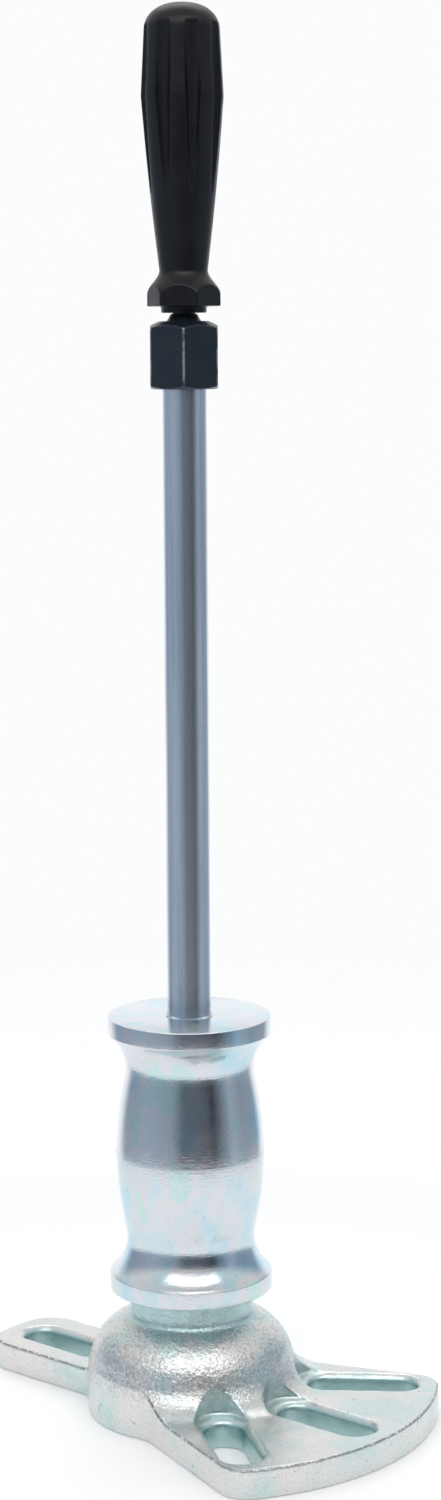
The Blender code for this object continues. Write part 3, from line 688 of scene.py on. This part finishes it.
def hammer_half():
    """Outer side of one half, as (radius, distance from the middle), from the end face to the seam."""
    end = HAMMER_HALF_LENGTH
    neck = (HAMMER_NECK_RADIUS + HAMMER_NECK_ARC, end - HAMMER_NECK_HEIGHT)
    # The belly's arc starts at the seam with the seam's slope, and touches the neck's arc.
    lead = neck[0] - HAMMER_BELLY_RADIUS
    cos_seam, sin_seam = math.cos(HAMMER_SEAM_SLOPE), math.sin(HAMMER_SEAM_SLOPE)
    slack = HAMMER_NECK_ARC - lead * cos_seam - neck[1] * sin_seam
    belly_arc = (lead**2 + neck[1] ** 2 - HAMMER_NECK_ARC**2) / (2 * slack)
    belly = (HAMMER_BELLY_RADIUS - belly_arc * cos_seam, -belly_arc * sin_seam)
    touch = math.degrees(math.atan2(neck[1] - belly[1], neck[0] - belly[0]))

    rim_bottom = end - HAMMER_RIM_HEIGHT
    flare_radius = HAMMER_RIM_RADIUS - HAMMER_LIP_GROOVE
    flare = math.degrees(math.acos((neck[0] - flare_radius) / HAMMER_NECK_ARC))
    edge_x = HAMMER_RIM_RADIUS - HAMMER_RIM_EDGE
    points = arc((edge_x, end - HAMMER_RIM_EDGE), HAMMER_RIM_EDGE, 90.0, 0.0, RIM_EDGE_STEPS)
    points += arc((edge_x, rim_bottom), HAMMER_RIM_EDGE, 0.0, HAMMER_RIM_LIP_ANGLE, RIM_EDGE_STEPS)
    points += arc(neck, HAMMER_NECK_ARC, 180.0 - flare, 180.0 + touch, 2 * ARC_STEPS)
    seam_edge = math.degrees(HAMMER_SEAM_SLOPE + HAMMER_SEAM_HALF / belly_arc)
    points += arc(belly, belly_arc, touch, seam_edge, 2 * ARC_STEPS)[1:]
    points.append((HAMMER_BELLY_RADIUS + HAMMER_SEAM_PROUD, HAMMER_SEAM_HALF / 2))
    return points


def make_hammer():
    middle = (HAMMER_LOW.z + HAMMER_HIGH.z) / 2
    half = hammer_half()
    bore = ROD_RADIUS + GAP
    end = HAMMER_HALF_LENGTH
    outer = half + [(radius, -height) for radius, height in reversed(half)]
    inner = [
        (bore + BORE_CHAMFER, -end),
        (bore, -end + BORE_CHAMFER),
        (bore, end - BORE_CHAMFER),
        (bore + BORE_CHAMFER, end),
    ]
    profile = [(radius, middle + height) for radius, height in outer + inner]
    hammer = turned("hammer_body", profile, closed=True)
    crisp(hammer, HAMMER_SHARP_ANGLE)
    dress(hammer, turned_zinc("hammer_zinc"), "hammer", "slide_hammer")


# ---------------------------------------------------------------- grip


def grip_profile():
    """Round top, long taper, narrow neck, flared guard and a small ring under it."""
    crown_height = GRIP_HIGH.z - GRIP_SHOULDER_HEIGHT
    profile = []
    for i in range(ARC_STEPS + 1):
        angle = math.radians(90.0 - 90.0 * i / ARC_STEPS)
        radius = GRIP_SHOULDER_RADIUS * math.cos(angle) ** GRIP_CROWN_POWER
        profile.append((radius if i else 0.0, GRIP_SHOULDER_HEIGHT + crown_height * math.sin(angle)))
    profile.append((GRIP_BELLY_RADIUS, GRIP_BELLY_HEIGHT))
    for i in range(1, ARC_STEPS):
        part = i / ARC_STEPS
        swell = GRIP_TAPER_SWELL * math.sin(math.pi * part)
        radius = GRIP_BELLY_RADIUS + (GRIP_NECK_RADIUS - GRIP_BELLY_RADIUS) * part + swell
        height = GRIP_BELLY_HEIGHT + (GRIP_NECK_HEIGHT - GRIP_BELLY_HEIGHT) * part
        profile.append((radius, height))
    for i in range(ARC_STEPS + 1):
        part = i / ARC_STEPS
        blend = (1 - math.cos(math.pi * part)) / 2
        radius = GRIP_NECK_RADIUS + (GRIP_GUARD_RADIUS - GRIP_NECK_RADIUS) * blend
        profile.append((radius, GRIP_NECK_HEIGHT + (GRIP_GUARD_TOP - GRIP_NECK_HEIGHT) * part))
    return profile + [
        (GRIP_GUARD_RADIUS, GRIP_GUARD_BOTTOM),
        (GRIP_RING_RADIUS, GRIP_GUARD_BOTTOM),
        (GRIP_RING_RADIUS, GRIP_LOW.z),
        (0.0, GRIP_LOW.z),
    ]


def flute_cutter(number):
    length = FLUTE_TOP - FLUTE_BOTTOM
    angle = FLUTE_TURN + FULL_TURN * number / FLUTE_COUNT
    flute = cone("flute_cut", FLUTE_BOTTOM_RADIUS, FLUTE_TOP_RADIUS, 0.0, length)
    outward_top = GRIP_SHOULDER_RADIUS - FLUTE_TOP_DEPTH + FLUTE_TOP_RADIUS
    outward_low = GRIP_BELLY_RADIUS - FLUTE_BOTTOM_INSET
    lean = math.atan2(outward_top - outward_low, length)
    middle = (outward_top + outward_low) / 2
    flute.location = (middle * math.cos(angle), middle * math.sin(angle), (FLUTE_TOP + FLUTE_BOTTOM) / 2)
    flute.rotation_euler = (0.0, lean, angle)
    return flute


def make_grip():
    grip = turned("grip", grip_profile())
    low = GRIP_LOW.z - CUT_OVER
    ring = cylinder("guard_cut", 2 * GRIP_GUARD_RADIUS, GRIP_GUARD_BOTTOM - GAP, GRIP_NECK_HEIGHT)
    core = hex_prism("guard_core", GRIP_GUARD_FLATS, low, GRIP_NECK_HEIGHT + CUT_OVER, GRIP_GUARD_TURN)
    combine(ring, [core], "DIFFERENCE")
    combine(grip, [ring], "DIFFERENCE")
    combine(grip, [flute_cutter(number) for number in range(FLUTE_COUNT)], "DIFFERENCE")
    socket = cylinder("grip_socket_cut", INSERT_RADIUS + GAP, low, INSERT_TOP + GAP)
    combine(grip, [socket], "DIFFERENCE")
    soften(grip, GRIP_VOXEL, GRIP_SMOOTHING)
    dress(grip, black_plastic(), "puller_body", "handle_grip")


# ---------------------------------------------------------------- materials


def colour_ramp(tree, factor, stops):
    """A colour ramp of (place, colour) stops. A grey may be given as one number."""
    node = tree.nodes.new("ShaderNodeValToRGB")
    elements = node.color_ramp.elements
    for index, (place, colour) in enumerate(stops):
        element = elements[index] if index < 2 else elements.new(place)
        element.position = place
        element.color = (*colour, 1.0) if isinstance(colour, tuple) else (colour, colour, colour, 1.0)
    tree.links.new(factor, node.inputs["Fac"])
    return node.outputs["Color"]


class Shader:
    """A Principled material and short calls that add nodes to it."""

    def __init__(self, name, colour, roughness, metallic):
        self.material = bpy.data.materials.new(name)
        self.material.use_nodes = True
        self.tree = self.material.node_tree
        self.main = self.tree.nodes["Principled BSDF"]
        self.main.inputs["Base Color"].default_value = (*colour, 1.0)
        self.main.inputs["Roughness"].default_value = roughness
        self.main.inputs["Metallic"].default_value = metallic
        self.place = self.tree.nodes.new("ShaderNodeTexCoord").outputs["Object"]

    def link(self, start, end):
        self.tree.links.new(start, end)

    def stretched(self, scale):
        """The object's own coordinates, scaled apart along its axes."""
        mapping = self.tree.nodes.new("ShaderNodeMapping")
        mapping.inputs["Scale"].default_value = scale
        self.link(self.place, mapping.inputs["Vector"])
        return mapping.outputs["Vector"]

    def noise(self, size, detail=3.0, roughness=0.5, place=None):
        """Noise whose features are about this size, in metres."""
        node = self.tree.nodes.new("ShaderNodeTexNoise")
        node.inputs["Scale"].default_value = 1.0 / size
        node.inputs["Detail"].default_value = detail
        node.inputs["Roughness"].default_value = roughness
        self.link(place or self.place, node.inputs["Vector"])
        return node.outputs["Fac"]

    def painted(self, name):
        """A value stored on the mesh."""
        node = self.tree.nodes.new("ShaderNodeAttribute")
        node.attribute_name = name
        return node.outputs["Fac"]

    def ramp(self, factor, stops):
        return colour_ramp(self.tree, factor, stops)

    def mix(self, factor, first, second, blend="MIX"):
        """Mixes two colours. Each is a tuple or another node's output."""
        node = self.tree.nodes.new("ShaderNodeMix")
        node.data_type = "RGBA"
        node.blend_type = blend
        if isinstance(factor, (int, float)):
            node.inputs["Factor"].default_value = factor
        else:
            self.link(factor, node.inputs["Factor"])
        for value, socket in ((first, node.inputs["A"]), (second, node.inputs["B"])):
            if isinstance(value, tuple):
                socket.default_value = (*value, 1.0)
            else:
                self.link(value, socket)
        return node.outputs["Result"]

    def bump(self, height, distance, strength=1.0, below=None):
        """Fine relief of this depth in metres, on top of the relief below it."""
        node = self.tree.nodes.new("ShaderNodeBump")
        node.inputs["Distance"].default_value = distance
        if isinstance(strength, (int, float)):
            node.inputs["Strength"].default_value = strength
        else:
            self.link(strength, node.inputs["Strength"])
        self.link(height, node.inputs["Height"])
        if below is not None:
            self.link(below, node.inputs["Normal"])
        return node.outputs["Normal"]

    def finish(self, colour=None, roughness=None, normal=None):
        """Connects what is given to the shader and returns the material."""
        for value, socket in ((colour, "Base Color"), (roughness, "Roughness"), (normal, "Normal")):
            if value is not None:
                self.link(value, self.main.inputs[socket])
        return self.material


def forged_zinc():
    """Zinc plated forging: pale with a coarse sparkling grain, painted teal shade in the recesses and a
    painted dark top edge with painted glints.
    """
    look = Shader("forged_zinc", (0.77, 0.77, 0.77), 0.34, 1.0)
    tints = [(0.34, (0.62, 0.74, 0.73)), (0.50, (0.73, 0.76, 0.75)), (0.66, (0.79, 0.77, 0.75))]
    colour = look.ramp(look.noise(0.016, 2.0), tints)
    skin = look.ramp(look.painted("coarse"), [(0.0, 0.35), (1.0, 1.0)])
    specks = look.ramp(look.noise(0.0009, 2.0), [(0.36, 0.70), (0.56, 1.0)])
    colour = look.mix(skin, colour, specks, "MULTIPLY")
    pits = look.ramp(look.noise(0.0022, 1.0), [(0.24, 0.75), (0.30, 1.0)])
    colour = look.mix(1.0, colour, pits, "MULTIPLY")
    # Painted shade: the recesses are darkened and tinted teal, standing in for the hammer's shadow and for
    # light bounced between their walls.
    colour = look.mix(look.painted("recess_shade"), colour, (0.48, 0.64, 0.64))
    # Painted dark line along the top edge, with painted glints where the noise runs bright.
    edge_pattern = look.ramp(look.noise(0.0014, 3.0, 0.7), [(0.52, (0.26, 0.26, 0.27)), (0.60, (0.90, 0.90, 0.89))])
    colour = look.mix(look.painted("edge"), colour, edge_pattern)
    roughness = look.ramp(look.noise(0.0045, 3.0), [(0.3, 0.28), (0.7, 0.40)])
    coarse = look.bump(look.noise(0.0015, 2.0, 0.6), 0.00030, skin)
    fine = look.bump(look.noise(0.00065, 2.0, 0.6), 0.00012, skin, coarse)
    return look.finish(colour, roughness, fine)


def turned_zinc(name):
    """Turned steel under bright zinc: faint blue, green and pink tints and fine lines round the axis."""
    look = Shader(name, (0.72, 0.79, 0.83), 0.22, 1.0)
    tint = look.noise(0.014, 3.0, 0.5, look.stretched((1.0, 1.0, 0.75)))
    colour = look.ramp(
        tint,
        [
            (0.34, (0.49, 0.69, 0.78)),
            (0.45, (0.62, 0.71, 0.75)),
            (0.55, (0.70, 0.69, 0.73)),
            (0.64, (0.56, 0.73, 0.71)),
        ],
    )
    specks = look.ramp(look.noise(0.0011, 4.0, 0.7), [(0.28, 0.62), (0.42, 1.0)])
    colour = look.mix(0.6, colour, specks, "MULTIPLY")
    rings = look.noise(0.0006, 3.0, 0.6, look.stretched((0.05, 0.05, 1.0)))
    roughness = look.ramp(look.noise(0.006, 3.0), [(0.3, 0.12), (0.7, 0.20)])
    lines = look.bump(rings, 0.000030)
    wear = look.bump(look.noise(0.0014, 3.0, 0.6), 0.000045, 1.0, lines)
    return look.finish(colour, roughness, wear)


def rod_zinc():
    """Drawn bar under zinc: satin, with long streaks along its length."""
    look = Shader("rod_zinc", (0.62, 0.68, 0.75), 0.26, 1.0)
    along = look.stretched((1.0, 1.0, 0.03))
    streaks = look.noise(0.0022, 4.0, 0.6, along)
    tints = [(0.30, (0.50, 0.57, 0.65)), (0.55, (0.66, 0.72, 0.78)), (0.75, (0.74, 0.78, 0.82))]
    colour = look.ramp(streaks, tints)
    specks = look.ramp(look.noise(0.0009, 4.0, 0.7), [(0.25, 0.60), (0.40, 1.0)])
    colour = look.mix(0.7, colour, specks, "MULTIPLY")
    roughness = look.ramp(streaks, [(0.3, 0.30), (0.7, 0.20)])
    drawn = look.bump(look.noise(0.0006, 2.0, 0.5, along), 0.000012)
    wear = look.bump(look.noise(0.0013, 3.0), 0.000020, 1.0, drawn)
    return look.finish(colour, roughness, wear)


def black_oxide(name):
    """Blackened steel, satin and slightly blue."""
    look = Shader(name, (0.016, 0.026, 0.036), 0.36, 0.35)
    patches = look.noise(0.006, 3.0)
    colour = look.ramp(patches, [(0.35, (0.013, 0.024, 0.034)), (0.65, (0.021, 0.031, 0.041))])
    edge_pattern = look.ramp(look.noise(0.0060, 3.0, 0.6), [(0.40, 0.1), (0.60, 1.0)])
    # Lighter grey near the six upright corners, broken up by noise.
    colour = look.mix(look.mix(1.0, edge_pattern, look.painted("corner"), "MULTIPLY"), colour, (0.34, 0.39, 0.44))
    roughness = look.ramp(look.noise(0.0025, 3.0), [(0.3, 0.24), (0.7, 0.34)])
    grain = look.bump(look.noise(0.0005, 2.0), 0.000018)
    return look.finish(colour, roughness, grain)


def black_plastic():
    """Moulded black plastic with a fine spark-eroded grain and a few handling marks."""
    look = Shader("black_plastic", (0.006, 0.0065, 0.008), 0.38, 0.0)
    look.main.inputs["Specular IOR Level"].default_value = 0.32
    tints = [(0.35, (0.005, 0.0054, 0.0072)), (0.65, (0.007, 0.0075, 0.0098))]
    colour = look.ramp(look.noise(0.012, 3.0), tints)
    roughness = look.ramp(look.noise(0.004, 4.0), [(0.3, 0.32), (0.7, 0.44)])
    grain = look.bump(look.noise(0.0004, 2.0), 0.000014)
    return look.finish(colour, roughness, grain)


def brass():
    look = Shader("brass", (0.72, 0.56, 0.28), 0.30, 1.0)
    colour = look.ramp(look.noise(0.004, 3.0), [(0.3, (0.66, 0.50, 0.24)), (0.7, (0.76, 0.60, 0.31))])
    lines = look.bump(look.noise(0.0004, 2.0, 0.5, look.stretched((0.05, 0.05, 1.0))), 0.00001)
    return look.finish(colour, None, lines)


def dress_insert():
    """The hidden insert keeps its CAD shape and takes a brass finish."""
    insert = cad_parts["handle_insert"]
    insert.data.materials.clear()
    insert.data.materials.append(brass())


# ---------------------------------------------------------------- studio

CAMERA_PLACE = (0.6745, -0.7684, 0.3917)
CAMERA_AZIMUTH = math.radians(40.6)
CAMERA_PITCH = math.radians(8.0)
CAMERA_ROLL = math.radians(0.343)
CAMERA_LENS = 68.28
BACKGROUND = (0.97, 0.975, 0.98)
BACKDROP = (0.96, 0.97, 1.0)
ROOM_TINT = (0.80, 0.94, 1.14)
# Brightness of the room round the object. Place 0.5 is straight behind the camera, and it grows
# to the camera's right. Before and after the room comes the bright backdrop, from these two places.
BACKDROP_ENDS = 0.10
BACKDROP_BEGINS = 0.91
ROOM = [
    (0.16, 0.34),
    (0.30, 0.42),
    (0.42, 0.34),
    (0.47, 0.14),
    (0.53, 0.13),
    (0.585, 0.10),
    (0.605, 0.03),
    (0.625, 0.11),
    (0.70, 0.44),
    (0.76, 0.33),
    (0.86, 0.36),
]
ROOM_STRENGTH = 1.15
CEILING = (0.72, 0.71, 0.70)
# How far the ceiling covers the room, where place 0.5 is the horizon and 1 the zenith.
CEILING_SHARE = [(0.00, 0.6), (0.50, 0.0), (0.58, 0.0), (0.68, 1.0), (0.90, 0.7), (1.00, 0.5)]
FLOOR_RADIUS = 0.90
FLOOR_LOW = -0.0040
FLOOR_TOP = -0.0002  # just under the object, so that the two faces don't meet
FLOOR_GLOW = 0.15
FLOOR_SEEN = (0.12, 0.80)  # the camera sees the floor fade into the background between these radii
FLOOR_MIRRORED = (0.31, 0.40)  # the metal mirrors it as far as this, and the room beyond
LIGHT_TARGET = Vector((0.0, 0.0, 0.15))
# Azimuth to the camera's right and elevation in degrees, distance, width and height, and watts.
SOFTBOXES = {
    "key": (4.0, 50.0, 1.5, 2.0, 0.6, 8.0),
    "back_top": (180.0, 60.0, 1.6, 1.2, 0.8, 4.0),
}


def add_camera():
    """The camera stands to the right of the front and looks slightly down."""
    right = Vector((math.cos(CAMERA_AZIMUTH), math.sin(CAMERA_AZIMUTH), 0.0))
    level = Vector((-math.sin(CAMERA_AZIMUTH), math.cos(CAMERA_AZIMUTH), 0.0))
    up = level * math.sin(CAMERA_PITCH) + Vector((0.0, 0.0, math.cos(CAMERA_PITCH)))
    back = right.cross(up)
    tilt = Matrix.Rotation(-CAMERA_ROLL, 3, "Z")
    camera = link(bpy.data.objects.new("camera", bpy.data.cameras.new("camera")))
    axes = Matrix((right, up, back)).transposed() @ tilt
    camera.matrix_world = Matrix.Translation(CAMERA_PLACE) @ axes.to_4x4()
    camera.data.lens = CAMERA_LENS
    camera.data.clip_start = 0.01
    bpy.context.scene.camera = camera


def add_floor():
    floor = cylinder("floor", FLOOR_RADIUS, FLOOR_LOW, FLOOR_TOP)
    look = Shader("floor_paper", (0.88, 0.885, 0.89), 0.65, 0.0)
    look.main.inputs["Emission Color"].default_value = (1.0, 1.0, 1.0, 1.0)
    look.main.inputs["Emission Strength"].default_value = FLOOR_GLOW
    tree = look.tree
    distance = tree.nodes.new("ShaderNodeVectorMath")
    distance.operation = "LENGTH"
    look.link(look.place, distance.inputs[0])
    fades = []
    for near, far in (FLOOR_MIRRORED, FLOOR_SEEN):
        fade = tree.nodes.new("ShaderNodeMapRange")
        fade.inputs["From Min"].default_value = near
        fade.inputs["From Max"].default_value = far
        fade.inputs["To Min"].default_value = 1.0
        fade.inputs["To Max"].default_value = 0.0
        look.link(distance.outputs["Value"], fade.inputs["Value"])
        fades.append(fade.outputs["Result"])
    seen = tree.nodes.new("ShaderNodeLightPath").outputs["Is Camera Ray"]
    look.link(look.mix(seen, *fades), look.main.inputs["Alpha"])
    floor.data.materials.append(look.material)


def add_world():
    """A bright studio with a darker room on the camera's side, which the bright metal mirrors."""
    world = bpy.data.worlds.new("studio")
    bpy.context.scene.world = world
    world.use_nodes = True
    tree = world.node_tree
    tree.nodes.clear()
    new, link_nodes = tree.nodes.new, tree.links.new
    output = new("ShaderNodeOutputWorld")
    direction = new("ShaderNodeTexCoord").outputs["Generated"]

    turn = new("ShaderNodeVectorRotate")
    turn.rotation_type = "Z_AXIS"
    turn.inputs["Angle"].default_value = -CAMERA_AZIMUTH
    link_nodes(direction, turn.inputs["Vector"])
    parts = new("ShaderNodeSeparateXYZ")
    link_nodes(turn.outputs["Vector"], parts.inputs["Vector"])

    def maths(operation, first, second=None):
        node = new("ShaderNodeMath")
        node.operation = operation
        for value, socket in ((first, node.inputs[0]), (second, node.inputs[1])):
            if isinstance(value, (int, float)):
                socket.default_value = value
            elif value is not None:
                link_nodes(value, socket)
        return node.outputs["Value"]

    azimuth = maths("ARCTAN2", parts.outputs["X"], maths("MULTIPLY", parts.outputs["Y"], -1.0))
    around = maths("ADD", maths("DIVIDE", azimuth, FULL_TURN), 0.5)
    before = [(0.0, BACKDROP), (BACKDROP_ENDS, BACKDROP)]
    behind = [(place, tuple(grey * part for part in ROOM_TINT)) for place, grey in ROOM]
    after = [(BACKDROP_BEGINS, BACKDROP), (1.0, BACKDROP)]
    room = colour_ramp(tree, around, before + behind + after)
    height = maths("ADD", maths("DIVIDE", maths("ARCSINE", parts.outputs["Z"]), math.pi), 0.5)
    ceiling = colour_ramp(tree, height, CEILING_SHARE)
    mix = new("ShaderNodeMix")
    mix.data_type = "RGBA"
    link_nodes(ceiling, mix.inputs["Factor"])
    link_nodes(room, mix.inputs["A"])
    mix.inputs["B"].default_value = (*CEILING, 1.0)

    mirrored = new("ShaderNodeBackground")
    mirrored.inputs["Strength"].default_value = ROOM_STRENGTH
    link_nodes(mix.outputs["Result"], mirrored.inputs["Color"])
    backdrop = new("ShaderNodeBackground")
    backdrop.inputs["Color"].default_value = (*BACKGROUND, 1.0)
    choose = new("ShaderNodeMixShader")
    link_nodes(new("ShaderNodeLightPath").outputs["Is Camera Ray"], choose.inputs["Fac"])
    link_nodes(mirrored.outputs["Background"], choose.inputs[1])
    link_nodes(backdrop.outputs["Background"], choose.inputs[2])
    link_nodes(choose.outputs["Shader"], output.inputs["Surface"])


def add_softbox(name, azimuth_deg, elevation_deg, distance, width, height, power):
    """An area light that looks at the object."""
    azimuth = CAMERA_AZIMUTH - math.pi / 2 + math.radians(azimuth_deg)
    elevation = math.radians(elevation_deg)
    away = Vector(
        (
            math.cos(azimuth) * math.cos(elevation),
            math.sin(azimuth) * math.cos(elevation),
            math.sin(elevation),
        )
    )
    light = bpy.data.lights.new(name, "AREA")
    light.shape = "RECTANGLE"
    light.size = width
    light.size_y = height
    light.energy = power
    lamp = link(bpy.data.objects.new(name, light))
    lamp.location = LIGHT_TARGET + away * distance
    lamp.rotation_mode = "QUATERNION"
    lamp.rotation_quaternion = away.to_track_quat("Z", "Y")


def add_studio():
    add_camera()
    add_floor()
    add_world()
    for name, numbers in SOFTBOXES.items():
        add_softbox(name, *numbers)
    bpy.context.scene.view_settings.view_transform = "Standard"


make_flange()
make_rod()
make_washer()
make_lock_nut()
make_hammer()
make_stop_nut()
make_stud()
make_grip()
dress_insert()
add_studio()
